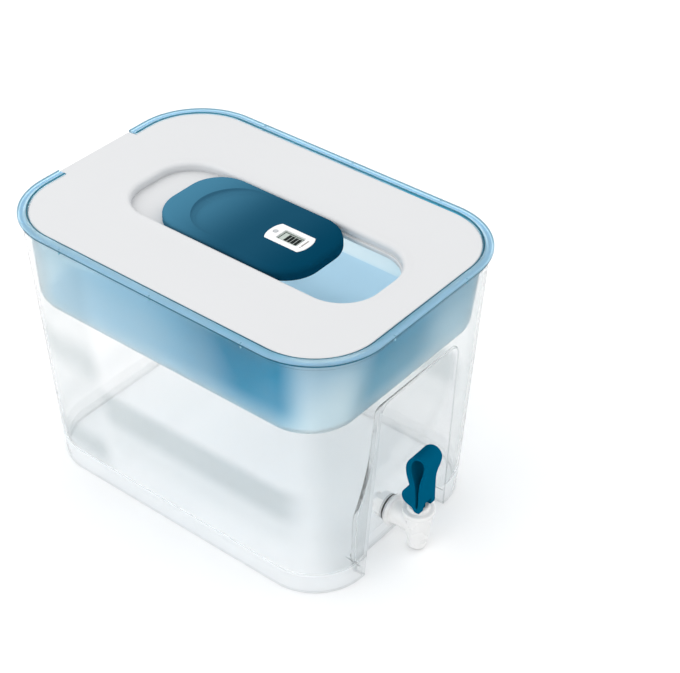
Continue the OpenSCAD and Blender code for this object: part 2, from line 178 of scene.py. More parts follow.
def even_out(ob):
    """Weighted normals, so that large flat faces stay flat beside small bevels."""
    m = ob.modifiers.new("n", "WEIGHTED_NORMAL")
    m.keep_sharp = True
    m.weight = 80
    bpy.context.view_layer.update()
    apply_mods(ob)


def apply_mods(ob):
    dg = bpy.context.evaluated_depsgraph_get()
    dg.update()
    me = bpy.data.meshes.new_from_object(ob.evaluated_get(dg), preserve_all_data_layers=True, depsgraph=dg)
    old = ob.data
    ob.modifiers.clear()
    ob.data = me
    me.name = ob.name
    me.validate()
    bpy.data.meshes.remove(old)


def boolean(ob, other, op="DIFFERENCE", keep=False, solver="EXACT"):
    m = ob.modifiers.new("b", "BOOLEAN")
    m.operation = op
    m.object = other
    m.solver = solver
    bpy.context.view_layer.update()
    apply_mods(ob)
    if not keep:
        bpy.data.objects.remove(other)


def bevel(ob, width, segments=3, angle=35.0, harden=True):
    m = ob.modifiers.new("v", "BEVEL")
    m.width = width * MM
    m.segments = segments
    m.limit_method = "ANGLE"
    m.angle_limit = rad(angle)
    m.use_clamp_overlap = True
    m.harden_normals = harden
    m.miter_outer = "MITER_ARC"
    bpy.context.view_layer.update()
    apply_mods(ob)


def join(a, *others):
    """One mesh object from several."""
    bm = bmesh.new()
    mats = [m for m in a.data.materials]
    bm.from_mesh(a.data)
    for o in others:
        start = len(bm.faces)
        bm.from_mesh(o.data)
        bm.faces.ensure_lookup_table()
        remap = []
        for m in o.data.materials:
            if m not in mats:
                mats.append(m)
            remap.append(mats.index(m))
        for f in bm.faces[start:]:
            if remap:
                f.material_index = remap[min(f.material_index, len(remap) - 1)]
    bm.to_mesh(a.data)
    bm.free()
    a.data.materials.clear()
    for m in mats:
        a.data.materials.append(m)
    for o in others:
        bpy.data.objects.remove(o)
    return a


# ------------------------------------------------------------------ materials

def new_mat(name):
    m = bpy.data.materials.new(name)
    m.use_nodes = True
    nt = m.node_tree
    bsdf = nt.nodes["Principled BSDF"]
    return m, nt, bsdf


def noise(nt, scale, detail=3.0, rough=0.5, vec=None, x=-900, y=0):
    n = nt.nodes.new("ShaderNodeTexNoise")
    n.inputs["Scale"].default_value = scale
    n.inputs["Detail"].default_value = detail
    n.inputs["Roughness"].default_value = rough
    n.location = (x, y)
    if vec is None:
        tc = nt.nodes.new("ShaderNodeTexCoord")
        tc.location = (x - 250, y)
        vec = tc.outputs["Object"]
    nt.links.new(vec, n.inputs["Vector"])
    return n.outputs["Fac"]


def ramp(nt, fac, stops, x=-600, y=0):
    r = nt.nodes.new("ShaderNodeValToRGB")
    r.location = (x, y)
    el = r.color_ramp.elements
    while len(el) > 1:
        el.remove(el[-1])
    for k, (p, c) in enumerate(stops):
        e = el[0] if k == 0 else el.new(p)
        e.position = p
        e.color = (*c[:3], 1.0)
    nt.links.new(fac, r.inputs["Fac"])
    return r.outputs["Color"]


def to_range(nt, fac, a, b, lo=0.3, hi=0.7, x=-600, y=-300):
    r = nt.nodes.new("ShaderNodeMapRange")
    r.location = (x, y)
    r.inputs["From Min"].default_value = lo
    r.inputs["From Max"].default_value = hi
    r.inputs["To Min"].default_value = a
    r.inputs["To Max"].default_value = b
    nt.links.new(fac, r.inputs["Value"])
    return r.outputs["Result"]


def bump(nt, bsdf, height, strength=0.1, dist=0.0002, x=-300, y=-500):
    b = nt.nodes.new("ShaderNodeBump")
    b.location = (x, y)
    b.inputs["Strength"].default_value = strength
    b.inputs["Distance"].default_value = dist
    nt.links.new(height, b.inputs["Height"])
    nt.links.new(b.outputs["Normal"], bsdf.inputs["Normal"])
    return b


def shades(c, k):
    return tuple(clamp(v * k) for v in c)


def plastic(name, col, rough=0.35, spread=0.05, vary=0.04, grain=900.0, strength=0.12, dist=0.00008, broad=6.0, coat=0.0, spec=0.5):
    """Moulded plastic: slow colour variation, a fine moulded grain and slightly uneven gloss."""
    m, nt, b = new_mat(name)
    f = noise(nt, broad, 3.0, y=200)
    nt.links.new(ramp(nt, f, [(0.3, shades(col, 1 - vary)), (0.7, shades(col, 1 + vary * 0.6))], y=200), b.inputs["Base Color"])
    g = noise(nt, 45.0, 4.0, y=-100)
    nt.links.new(to_range(nt, g, rough - spread, rough + spread), b.inputs["Roughness"])
    h = noise(nt, grain, 2.0, y=-500)
    bump(nt, b, h, strength, dist)
    b.inputs["Specular IOR Level"].default_value = spec
    b.inputs["Coat Weight"].default_value = coat
    return m


def metal(name, col, rough=0.3):
    m, nt, b = new_mat(name)
    b.inputs["Base Color"].default_value = (*col, 1)
    b.inputs["Metallic"].default_value = 1.0
    f = noise(nt, 400.0, 4.0)
    nt.links.new(to_range(nt, f, rough - 0.08, rough + 0.08), b.inputs["Roughness"])
    bump(nt, b, f, 0.15, 0.00005)
    return m


def position(nt, x=-1500, y=300):
    tc = nt.nodes.new("ShaderNodeTexCoord")
    tc.location = (x, y)
    s_ = nt.nodes.new("ShaderNodeSeparateXYZ")
    s_.location = (x + 200, y)
    nt.links.new(tc.outputs["Object"], s_.inputs[0])
    return s_.outputs


def math_node(nt, op, a, b=None, clamp_=False):
    n = nt.nodes.new("ShaderNodeMath")
    n.operation = op
    n.use_clamp = clamp_
    for k, v in enumerate((a, b)):
        if v is None:
            continue
        if isinstance(v, (int, float)):
            n.inputs[k].default_value = v
        else:
            nt.links.new(v, n.inputs[k])
    return n.outputs[0]


def curve_of(nt, value, lo, hi, stops):
    """A soft curve of value between lo and hi: stops are (value, height)."""
    mr_ = nt.nodes.new("ShaderNodeMapRange")
    mr_.inputs["From Min"].default_value = lo
    mr_.inputs["From Max"].default_value = hi
    nt.links.new(value, mr_.inputs["Value"])
    r = nt.nodes.new("ShaderNodeValToRGB")
    r.color_ramp.interpolation = "EASE"
    el_ = r.color_ramp.elements
    while len(el_) > 1:
        el_.remove(el_[-1])
    for k, (v, h) in enumerate(sorted(stops)):
        e = el_[0] if k == 0 else el_.new((v - lo) / (hi - lo))
        e.position = (v - lo) / (hi - lo)
        e.color = (h, h, h, 1)
    nt.links.new(mr_.outputs["Result"], r.inputs["Fac"])
    return r.outputs["Color"]


def mix_col(nt, fac, c0, c1):
    m = nt.nodes.new("ShaderNodeMix")
    m.data_type = "RGBA"
    nt.links.new(fac, m.inputs["Factor"])
    for k, c in ((6, c0), (7, c1)):
        if isinstance(c, tuple):
            m.inputs[k].default_value = (*c[:3], 1)
        else:
            nt.links.new(c, m.inputs[k])
    return m.outputs[2]


def frosted(name, light, deep, rough, spread, ior, milky, shadow, factor=None, gloss=1.0, coat=0.0):
    """Moulded see-through plastic. factor(nt) gives how far its colour runs from light to deep; for the tank, the
    hopper and the hopper's floor that run is painted shade.
    """
    m, nt, b = new_mat(name)
    f = factor(nt) if factor else noise(nt, 5.0, 2.0, y=300)
    nt.links.new(mix_col(nt, f, light, deep), b.inputs["Base Color"])
    b.inputs["Transmission Weight"].default_value = 1.0 - milky
    b.inputs["IOR"].default_value = ior
    b.inputs["Specular Tint"].default_value = (gloss, gloss, gloss, 1)
    b.inputs["Coat Weight"].default_value = coat
    b.inputs["Coat Roughness"].default_value = 0.06
    g = noise(nt, 25.0, 3.0, y=-100)
    nt.links.new(to_range(nt, g, max(rough - spread, 0.0), rough + spread), b.inputs["Roughness"])
    lp = nt.nodes.new("ShaderNodeLightPath")
    tp = nt.nodes.new("ShaderNodeBsdfTransparent")
    tp.inputs["Color"].default_value = (*[lerp(1.0, c, 0.5) * shadow for c in light], 1)
    ms = nt.nodes.new("ShaderNodeMixShader")
    nt.links.new(lp.outputs["Is Shadow Ray"], ms.inputs["Fac"])
    nt.links.new(b.outputs["BSDF"], ms.inputs[1])
    nt.links.new(tp.outputs[0], ms.inputs[2])
    nt.links.new(ms.outputs[0], nt.nodes["Material Output"].inputs["Surface"])
    return m


def hopper_painted_shade(nt):
    """Painted shade: deeper blue painted along the flat sides and a little at the top, clear at the corners and towards
    the floor.
    """
    x, y, z = position(nt)
    ax = math_node(nt, "ABSOLUTE", x)
    side = curve_of(nt, y, -0.18, 0.18, [(-0.145, 0.0), (-0.118, 0.9), (-0.085, 1.0), (-0.04, 0.6), (0.03, 0.40), (0.15, 0.12)])
    on_side = curve_of(nt, ax, 0.08, 0.12, [(0.092, 0.0), (0.108, 1.0)])
    front = curve_of(nt, x, -0.12, 0.12, [(-0.09, 0.0), (-0.05, 0.85), (-0.01, 0.8), (0.04, 0.42)])
    ny = math_node(nt, "MULTIPLY", y, -1.0)
    on_front = curve_of(nt, ny, 0.13, 0.18, [(0.125, 0.0), (0.158, 1.0)])
    f = math_node(nt, "ADD", math_node(nt, "MULTIPLY", side, on_side), math_node(nt, "MULTIPLY", front, on_front), True)
    low_ = curve_of(nt, z, 0.17, 0.25, [(0.178, 0.45), (0.205, 1.0)])
    top_ = curve_of(nt, z, 0.17, 0.26, [(0.205, 0.0), (0.248, 0.17)])
    return math_node(nt, "ADD", math_node(nt, "MULTIPLY", f, low_), top_, True)


def floor_painted_shading(nt):
    """Painted light and shade: lighter at the front of the hopper's floor, deeper from there back round the well."""
    return curve_of(nt, position(nt)[1], -0.18, 0.18, [(-0.135, 0.0), (-0.095, 1.0)])


def tank_painted_shade(nt):
    """Painted shade: a soft grey band along the sides, and soft grey shading at the back corners and at the front."""
    x, y, z = position(nt)
    band = curve_of(nt, z, 0.0, 0.26, [(0.035, 0.0), (0.07, 0.3), (0.092, 1.0), (0.107, 1.0), (0.122, 0.0)])
    flat = curve_of(nt, y, -0.19, 0.19, [(-0.145, 0.0), (-0.115, 1.0), (0.065, 1.0), (0.088, 0.0)])
    spot_z = curve_of(nt, z, 0.0, 0.26, [(0.016, 0.2), (0.04, 1.0), (0.065, 0.35), (0.11, 0.35), (0.14, 1.0), (0.170, 0.35)])
    end = curve_of(nt, y, -0.19, 0.19, [(0.070, 0.0), (0.092, 1.0), (0.135, 1.0), (0.165, 0.3)])
    front = curve_of(nt, y, -0.19, 0.19, [(-0.158, 0.5), (-0.135, 0.0)])
    shade_ = math_node(nt, "ADD", math_node(nt, "MULTIPLY", spot_z, end), front, True)
    return math_node(nt, "ADD", math_node(nt, "MULTIPLY", band, flat), shade_, True)


M = {}
# the tank's grey is painted shade
M["tank"] = frosted("clear_tank", (0.985, 0.986, 0.985), (0.72, 0.75, 0.755), 0.13, 0.03, 1.045, 0.0, 0.985, tank_painted_shade, gloss=1.0, coat=0.12)
M["tank_edge"] = frosted("clear_tank_edge", (0.90, 0.905, 0.908), (0.87, 0.88, 0.885), 0.16, 0.03, 1.045, 0.05, 0.985, gloss=1.0, coat=0.12)
# darker grey painted shade for the dark lines along the tank's edges
M["tank_line"] = frosted("clear_tank_line", (0.62, 0.64, 0.65), (0.58, 0.60, 0.61), 0.16, 0.03, 1.045, 0.12, 0.985, gloss=1.0, coat=0.12)
# the hopper's deeper blue is painted shade
M["hopper"] = frosted("blue_hopper", (0.89, 0.965, 0.991), (0.06, 0.41, 0.59), 0.32, 0.03, 1.30, 0.12, 0.95, hopper_painted_shade, gloss=0.1)
# the hopper floor's lighter front and deeper back are painted light and shade
M["hopper_floor"] = frosted("blue_hopper_floor", (0.80, 0.92, 0.97), (0.42, 0.64, 0.79), 0.32, 0.03, 1.30, 0.05, 0.95, floor_painted_shading, gloss=0.3)
M["rim"] = frosted("blue_rim", (0.58, 0.82, 0.95), (0.54, 0.79, 0.93), 0.30, 0.02, 1.30, 0.22, 0.95, gloss=0.5)
# dark blue painted shadow for the gap beside the lid and the rim's underside
M["rim_line"] = frosted("blue_rim_line", (0.01, 0.11, 0.17), (0.01, 0.09, 0.15), 0.32, 0.02, 1.30, 0.35, 0.9, gloss=0.2)
# darker blue painted shade for the marks at the rim's ribs
M["rim_notch_shade"] = plastic("rim_notch_shade", (0.26, 0.50, 0.60), 0.3, vary=0.03)
M["lid"] = plastic("white_lid", (0.645, 0.652, 0.662), 0.38, 0.06, 0.012, grain=1400.0, strength=0.10, broad=5.0)
M["trim"] = plastic("white_trim", (0.84, 0.845, 0.85), 0.30, 0.05, 0.012, grain=1200.0)
M["tap"] = plastic("tap_white", (0.80, 0.80, 0.795), 0.28, 0.05, 0.012, grain=1200.0, strength=0.08)
M["lever"] = plastic("lever_blue", (0.0, 0.095, 0.185), 0.42, 0.05, 0.05, grain=1500.0, strength=0.15, dist=0.0001, spec=0.0)
M["button"] = plastic("grey_button", (0.48, 0.50, 0.52), 0.45, 0.05, 0.03)
M["board"] = plastic("board_green", (0.03, 0.22, 0.09), 0.4, 0.08, 0.15, grain=300.0)
M["seal"] = plastic("seal_rubber", (0.62, 0.635, 0.65), 0.6, 0.05, 0.03, grain=700.0)
M["gasket"] = plastic("gasket_rubber", (0.55, 0.555, 0.56), 0.6, 0.05, 0.03, grain=700.0)
M["mesh"] = plastic("mesh_white", (0.78, 0.8, 0.82), 0.5, 0.05, 0.03)
M["cart"] = plastic("cartridge_blue", (0.16, 0.34, 0.44), 0.4, 0.05, 0.03, grain=900.0)
M["steel"] = metal("steel", (0.62, 0.63, 0.65), 0.28)


def slider_painted_shade_mat():
    """Petrol blue, painted lighter towards the scoop end and darker towards the front: painted light and painted
    shadow.
    """
    m = plastic("petrol_cover_painted_shade", (0.5, 0.5, 0.5), 0.42, 0.05, 0.04, grain=1500.0, strength=0.16, dist=0.0001, spec=0.0)
    nt = m.node_tree
    b = nt.nodes["Principled BSDF"]
    src = b.inputs["Base Color"].links[0].from_socket
    # painted light and shadow: the colour runs from a darker petrol at the front to a lighter one at the scoop end
    f = curve_of(nt, position(nt)[1], -0.09, 0.09, [(-0.07, 0.0), (-0.01, 0.15), (0.085, 1.0)])
    mx = nt.nodes.new("ShaderNodeMix")
    mx.data_type = "RGBA"
    mx.blend_type = "MULTIPLY"
    mx.inputs["Factor"].default_value = 1.0
    nt.links.new(src, mx.inputs[6])
    nt.links.new(mix_col(nt, f, (0.003, 0.092, 0.185), (0.115, 0.40, 0.615)), mx.inputs[7])
    nt.links.new(mx.outputs[2], b.inputs["Base Color"])
    return m


M["slider"] = slider_painted_shade_mat()


def media_mat():
    m, nt, b = new_mat("filter_media")
    tc = nt.nodes.new("ShaderNodeTexCoord")
    v = nt.nodes.new("ShaderNodeTexVoronoi")
    v.inputs["Scale"].default_value = 1100.0
    nt.links.new(tc.outputs["Object"], v.inputs["Vector"])
    sep = nt.nodes.new("ShaderNodeSeparateColor")
    nt.links.new(v.outputs["Color"], sep.inputs["Color"])
    nt.links.new(ramp(nt, sep.outputs[0], [(0.0, (0.02, 0.018, 0.016)), (0.45, (0.10, 0.085, 0.07)), (0.6, (0.42, 0.34, 0.22)), (1.0, (0.62, 0.55, 0.42))]), b.inputs["Base Color"])
    b.inputs["Roughness"].default_value = 0.7
    bump(nt, b, v.outputs["Distance"], 0.8, 0.0006)
    return m


M["media"] = media_mat()


def display_mat():
    """Display glass: a grey-green field with a slight gradient; the bars are pieces of their own."""
    m, nt, b = new_mat("display_glass")
    f = noise(nt, 60.0, 2.0)
    nt.links.new(ramp(nt, f, [(0.3, (0.44, 0.50, 0.46)), (0.7, (0.50, 0.56, 0.52))]), b.inputs["Base Color"])
    b.inputs["Roughness"].default_value = 0.25
    b.inputs["Specular IOR Level"].default_value = 0.2
    return m


M["display"] = display_mat()
M["ink"] = plastic("display_ink", (0.010, 0.014, 0.014), 0.45, 0.05, 0.05, spec=0.05)
M["grey_mark"] = plastic("grey_mark", (0.33, 0.31, 0.30), 0.45, 0.05, 0.03, spec=0.2)


def dress(ob, mat, body, replaces=()):
    if mat is not None:
        ob.data.materials.clear()
        ob.data.materials.append(mat)
    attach(ob, body)
    if replaces:
        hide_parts(*replaces)
    return ob


def dress_node(name, mat):
    o = nodes[name]
    if not o.material_slots:
        o.data.materials.append(mat)
    for s in o.material_slots:
        s.material = mat


# ------------------------------------------------------------------ tank

def t_a(z):
    return RIM_W / 2 - 3.4 - 13.7 * (1 - z / TANK_H)


def t_b(z):
    return RIM_L / 2 - 3.4 - 13.7 * (1 - z / TANK_H)


def t_r(z):
    return 60.9 - 9.3 * (1 - z / TANK_H)


def rec_hw(z):
    if z <= 175:
        return lerp(55.5, 50.8, clamp(z / 175.0))
    return 39.8 + math.sqrt(max(121.0 - (z - 175.0) ** 2, 0.0))


REC_Y = [(0, -149.5), (50, -149.5), (62, -151.6), (80, -156.3), (100, -160.8), (117, -164.2), (130, -166.0), (150, -167.8),
         (170, -169.2), (179, -170.6), (182.5, -172.0), (185, -174.0), (186, -175.2)]


def pchip(t, x):
    """Monotone cubic through the points of t."""
    n = len(t)
    if x <= t[0][0]:
        return t[0][1]
    if x >= t[-1][0]:
        return t[-1][1]
    h = [t[i + 1][0] - t[i][0] for i in range(n - 1)]
    d = [(t[i + 1][1] - t[i][1]) / h[i] for i in range(n - 1)]
    s = [d[0]] + [0.0 if d[i - 1] * d[i] <= 0 else (3 * (h[i - 1] + h[i])) / ((2 * h[i] + h[i - 1]) / d[i - 1] + (h[i] + 2 * h[i - 1]) / d[i]) for i in range(1, n - 1)] + [d[-1]]
    i = max(k for k in range(n - 1) if t[k][0] <= x)
    u = (x - t[i][0]) / h[i]
    return ((2 * u ** 3 - 3 * u ** 2 + 1) * t[i][1] + (u ** 3 - 2 * u ** 2 + u) * h[i] * s[i]
            + (3 * u ** 2 - 2 * u ** 3) * t[i + 1][1] + (u ** 3 - u ** 2) * h[i] * s[i + 1])


NC, NF, NB = 28, 5, 12      # segments in a corner, a recess edge and a recess inner corner


def t_ring(z, o, s):
    a, b, r = t_a(z) - o, t_b(z) - o, t_r(z) - o
    q = rr(a, -b, b, r, NC)
    c = NC + 1
    if z < 186.01:
        hw = rec_hw(z) + s
        yb = max(pchip(REC_Y, z) + s, -b + 0.3)
        d = yb + b
        f = min(0.8, d * 0.3) if s > 0 else min(1.5, d * 0.4)
        rb = min(9.0, d * 0.55)
        left = [(-hw - f + f * math.cos(rad(-90 + 90.0 * i / NF)), -b + f + f * math.sin(rad(-90 + 90.0 * i / NF))) for i in range(NF + 1)]
        left += [(-hw + rb + rb * math.cos(rad(180 - 90.0 * i / NB)), yb - rb + rb * math.sin(rad(180 - 90.0 * i / NB))) for i in range(NB + 1)]
        notch = left + [(-x, y) for x, y in reversed(left)]
    else:
        n = 2 * (NF + NB + 2)
        notch = [(-42 + 84.0 * i / (n - 1), -b) for i in range(n)]
    return at(q[:3 * c] + notch + q[3 * c:], z)


def in_ring(z, o):
    q, w = t_ring(z, o, WALL), t_ring(z, WALL, WALL)
    c, n, b = NC + 1, 2 * (NF + NB + 2), t_b(z) - o
    out = []
    for i, p in enumerate(q):
        if i < 3 * c or i >= 3 * c + n:
            out.append(p)
        else:
            k = i - 3 * c
            m = min(k, n - 1 - k)
            out.append((w[i][0] + (-1 if k < n / 2 else 1) * 0.03 * (n / 2 - m), -b, z))
    return out


steps = [8, 20, 35, 50, 54, 58, 62, 68, 74, 80, 87, 94, 100, 108, 117, 124, 130, 140, 150, 160, 168]
steps += [175 + 11 * math.sin(rad(t)) for t in range(0, 91, 6)] + [186.4, 186.9, 188]
rings = [in_ring(12, 21), t_ring(12, WALL + 2, WALL + 2), t_ring(11.4, WALL + 0.6, WALL + 0.6), t_ring(10, WALL, WALL), t_ring(0.4, WALL, WALL), t_ring(0.1, WALL - 0.3, WALL - 0.3),
         t_ring(0, WALL - 0.8, WALL - 0.8), t_ring(0, 0.9, 0.9), t_ring(0.25, 0.3, 0.3), t_ring(0.8, 0, 0)]
rings += [t_ring(z, 0, 0) for z in steps]
rings += [t_ring(z, 0, 0) for z in (200, 225, 248.4)]
rings += [t_ring(249.2, -0.3, 0), t_ring(249.7, -1.1, 0), t_ring(250.2, -1.5, 0), t_ring(252.4, -1.5, 0), t_ring(252.9, -1.25, 0), t_ring(253.2, -0.8, 0),
          t_ring(253.2, WALL - 0.7, WALL), t_ring(252.9, WALL - 0.2, WALL), t_ring(252.4, WALL, WALL)]
rings += [t_ring(z, WALL, WALL) for z in (225, 200)]
rings += [t_ring(z, WALL, WALL) for z in reversed(steps) if z > 24]
rings += [t_ring(14.5 + 9 * (1 - math.sin(rad(t))), WALL + 9 * (1 - math.cos(rad(t))), WALL) for t in range(0, 91, 10)]
rings += [in_ring(14.5, 21)]
tank = make("tank_shell", *loft(rings), sharp=40)
cut = turned("cut", [(7.7, YW - 6), (7.7, YW + 8)], 48, loop=False, axis="y", z0=TAP_Z)
boolean(tank, cut)
shade(tank, 40)
even_out(tank)
dress(tank, M["tank"], "tank", ["tank"])
tank.data.materials.append(M["tank_edge"])
tank.data.materials.append(M["tank_line"])
for p in tank.data.polygons:
    x_, y_, z_, n_ = p.center.x / MM, p.center.y / MM - YM, p.center.z / MM, p.normal
    if z_ < 14.0 or (y_ < YW + 3.5 and abs(x_) < 63 and z_ < 187 and (abs(n_.x) > 0.22 or z_ > 174.5 and n_.z < -0.2)):
        p.material_index = 1
    # painted shade: faces at the recess's front edges, at the base's bottom edge and at the step under the top flange
    # take the darker grey
    mouth = abs(x_) < 63 and z_ < 186.5 and -t_b(z_) - 0.1 < y_ < -t_b(z_) + 1.3 and n_.y < -0.2 and (abs(n_.x) > 0.2 or z_ > 184 and n_.z < -0.2)
    if mouth or (z_ < 0.9 and (abs(n_.x) > 0.2 or abs(n_.y) > 0.2)) or (248.5 < z_ < 249.6 and abs(n_.z) > 0.1):
        p.material_index = 2

# ------------------------------------------------------------------ hopper


def h_ring(z, o):
    t = clamp((z - 176.0) / 70.0)
    return at(rr(lerp(115.35, 119, t) - o, lerp(-163, -173.7, t) + o, lerp(170.05, 173.7, t) - o,
                 max(lerp(45, 56.9, t) - o, 4), NC, rb=max(lerp(51, 57.4, t) - o, 4)), z)


def rim(d, z):
    return at(rr(RIM_W / 2 - d, -RIM_L / 2 + d, RIM_L / 2 - d, RIM_R - d, NC), z)


def well(r, z):
    """A circle whose points lie at the bearings of the floor's outline."""
    out = []
    for x, y, _ in h_ring(172, 14):
        t = math.atan2(y - CART_Y, x)
        out.append((r * math.cos(t), CART_Y + r * math.sin(t), z))
    return out


low = [well(30, 97), well(31.8, 97.3), well(32.8, 98.2), well(33, 99.4), well(33, 120), well(33, 145), well(33, 169.5), well(33.4, 171.2), well(34.6, 172),
       h_ring(172, 14)]
low += [h_ring(172 + 12 * (1 - math.cos(rad(t))), 12 * (1 - math.sin(rad(t)))) for t in range(0, 91, 9)]
low += [h_ring(z, 0) for z in (190, 205, 220, 235, 245.4)]
low += [h_ring(246.2, -0.5), rim(6.9, 247.3), rim(6.8, 248.2)]
top = [rim(6.8, 248.2), rim(6.8, 253.0), rim(6.5, 253.2), rim(0.8, 253.2), rim(0.2, 253.4), rim(0, 253.9), rim(0, 254.6), rim(0, 254.9), rim(0.2, 255.35), rim(0.7, 255.6),
       rim(1.2, 255.6), rim(1.4, 255.5), rim(2.0, 255.22), rim(2.3, 255.2), rim(6.7, 255.2), rim(7.1, 255.5), rim(7.4, 255.6), rim(8.3, 255.6), rim(8.8, 255.4), rim(9, 254.9), rim(9, 248.4)]
inn = [rim(9, 248.4), rim(9.2, 248.0), rim(11.1, 248), rim(11.4, 247.6), h_ring(245.2, 2.2)]
inn += [h_ring(z, 2.2) for z in (235, 220, 205, 190)]
inn += [h_ring(174.2 + 9.8 * (1 - math.cos(rad(t))), 2.2 + 9.8 * (1 - math.sin(rad(t)))) for t in range(90, -1, -9)]
inn += [h_ring(174.2, 14), well(33, 174.2), well(31.5, 173.6), well(31, 172.2), well(31, 145), well(31, 120), well(31, 100), well(30, 99)]
hop = make("hopper_shell", *loft(low + top[1:] + inn[1:]), sharp=38)
holes = None
for i in range(8):
    t = rad(45 * i)
    c = turned("cut", [(3, 95), (3, 101)], 20, loop=False, cx=16 * math.cos(t), cy=CART_Y + 16 * math.sin(t))
    holes = c if holes is None else join(holes, c)
boolean(hop, holes)
gap = make("cut", *loft([at(rr(43, RIM_L / 2 - 9.2, RIM_L / 2 + 20, 1.2, 4), 252.4), at(rr(43, RIM_L / 2 - 9.2, RIM_L / 2 + 20, 1.2, 4), 262)]))
boolean(hop, gap)
shade(hop, 38)
dress(hop, M["hopper"], "hopper", ["hopper"])
hop.data.materials.append(M["rim"])
hop.data.materials.append(M["rim_line"])
hop.data.materials.append(M["hopper_floor"])


def rim_in(x, y):
    """Distance in from the rim's outline, in mm."""
    qx, qy = abs(x) - (RIM_W / 2 - RIM_R), abs(y) - (RIM_L / 2 - RIM_R)
    return RIM_R - math.hypot(max(qx, 0.0), max(qy, 0.0)) - min(max(qx, qy), 0.0)


for p in hop.data.polygons:
    if p.center.z > 0.25319:
        d_, z_ = rim_in(p.center.x / MM, p.center.y / MM - YM), p.center.z / MM
        # a dark strip on the rim's inner ridge beside the lid, and one along its lower outer edge, are painted shadow
        line = (z_ > 254.5 and 7.38 < d_ < 9.1) or (z_ < 254.8 and d_ < 0.9)
        p.material_index = 2 if line else 1
    elif p.center.z < 0.1746 and abs(p.normal.z) > 0.9:
        p.material_index = 3

# small marks across the rim's outer edge, where its locating ribs stand; their darker blue is painted shade
marks = None
for x, y, wx, wy in [(s * (RIM_W / 2 - 1.15), y, 2.0, 0.8) for y in (-98, -4, 95) for s in (-1, 1)] + [(x, -RIM_L / 2 + 1.15, 0.8, 2.0) for x in (-47, 47)]:
    b = make("mark", *loft([at([(x + wx / 2, y + wy / 2), (x - wx / 2, y + wy / 2), (x - wx / 2, y - wy / 2), (x + wx / 2, y - wy / 2)], z) for z in (250.9, 255.68)]))
    bevel(b, 0.15, 2)
    marks = b if marks is None else join(marks, b)
marks.name = "rim_marks"
dress(marks, M["rim_notch_shade"], "hopper")

# ------------------------------------------------------------------ lid

LID_Z = 254.8


def lid_ring(d, z, back=0.0, drop=0.0):
    """Outline of the lid; between the tab's sides it is pushed out by back and down by drop."""
    y = RIM_L / 2 - d
    xs = [44.0, 43.0, 42.3, 42.0, 42.0, 41.6, 40.6, 39.0, 20.0, 0.0, -20.0, -39.0, -40.6, -41.6, -42.0, -42.0, -42.3, -43.0, -44.0]
    yt = [0, 0.02, 0.12, 0.45, 0.75, 0.88, 0.965, 1.0, 1.0, 1.0, 1.0, 1.0, 0.965, 0.88, 0.75, 0.45, 0.12, 0.02, 0]
    e = [(x, y + back * t) for x, t in zip(xs, yt)]
    q = at(rr(RIM_W / 2 - d, -RIM_L / 2 + d, y, RIM_R - d, NC, extra=e), z)
    return [(p[0], p[1], z - drop * yt[i - NC - 1]) if NC < i <= NC + len(yt) else p for i, p in enumerate(q)]


def rec_ring(o, z, a=45.5, y0=-136.5, y1=114.0, r=34.5, rb=0.0):
    y = y1 - o
    rr_ = r - o
    k = (rb - o) if rb else rr_
    w = (a - o - k) * 0.98
    e = [(w * (1 - 2 * (i + 0.5) / 19), y) for i in range(19)]
    return at(rr(a - o, y0 + o, y, rr_, NC, rb=k, extra=e), z)


def hole_ring(o, z):
    return rec_ring(o, z, a=44.5, y0=-135.5, y1=-46.0, r=33.0, rb=8.5)


prof = [lid_ring(11.2, 252.6), lid_ring(11.2, 248.4), lid_ring(11.0, 248.05), lid_ring(10.6, 248), lid_ring(9.8, 248), lid_ring(9.5, 248.1), lid_ring(9.4, 248.5),
        lid_ring(9.4, 253.0, 0, 0.2), lid_ring(9.4, 253.2, 0.2, 0.4), lid_ring(9.4, 253.4, 9.1, 0.55), lid_ring(9.4, 253.7, 9.4, 0.65), lid_ring(9.4, 253.85, 9.4, 0.55), lid_ring(9.5, 254.15, 9.0, 0.45),
        lid_ring(9.75, 254.45, 7.5, 0.35), lid_ring(10.1, 254.65, 5.0, 0.2), lid_ring(10.55, 254.76, 2.9, 0.12), lid_ring(11.0, 254.8, 1.7, 0.16), lid_ring(11.4, 254.8, 1.1, 0.16), lid_ring(11.9, 254.8, 0.6, 0.0), lid_ring(13.5, 254.8, 0.0),
        rec_ring(-14.0, 254.8), rec_ring(-10.0, 254.86), rec_ring(-8.0, 255.02), rec_ring(-6.4, 255.24), rec_ring(-5.2, 255.37)]
prof += [rec_ring(-3.9 + 3.9 * math.sin(rad(t)), 255.4 - 3.9 + 3.9 * math.cos(rad(t))) for t in range(0, 91, 9)]
prof += [rec_ring(0.0, 249.2), rec_ring(-0.9, 249.15), rec_ring(-0.9, 246.85), rec_ring(0.15, 246.8)]
prof += [hole_ring(-0.6, 246.8), hole_ring(-0.2, 246.65), hole_ring(0.0, 246.3), hole_ring(0.0, 243.3), hole_ring(-0.2, 243.05), hole_ring(-0.7, 243.0), hole_ring(-1.2, 243.1), hole_ring(-1.4, 243.4), hole_ring(-1.4, 244.5), hole_ring(-1.6, 244.8)]
prof += [rec_ring(-1.7, 244.8), rec_ring(-2.4, 245.4), rec_ring(-2.6, 249.6), rec_ring(-4.4, 251.7), rec_ring(-8.0, 252.6), rec_ring(-14.0, 252.6)]
lid = make("lid_shell", *loft(prof, loop=True), sharp=42)
dress(lid, M["lid"], "lid", ["lid"])

# ------------------------------------------------------------------ sliding cover

CZ = 258.0
CY0, CY1, CW = -77.0, 79.0, 44.0


def cov(o, z, n=20):
    return at(rr(CW - o, CY0 + o, CY1 - o, 33 - o, n), z)


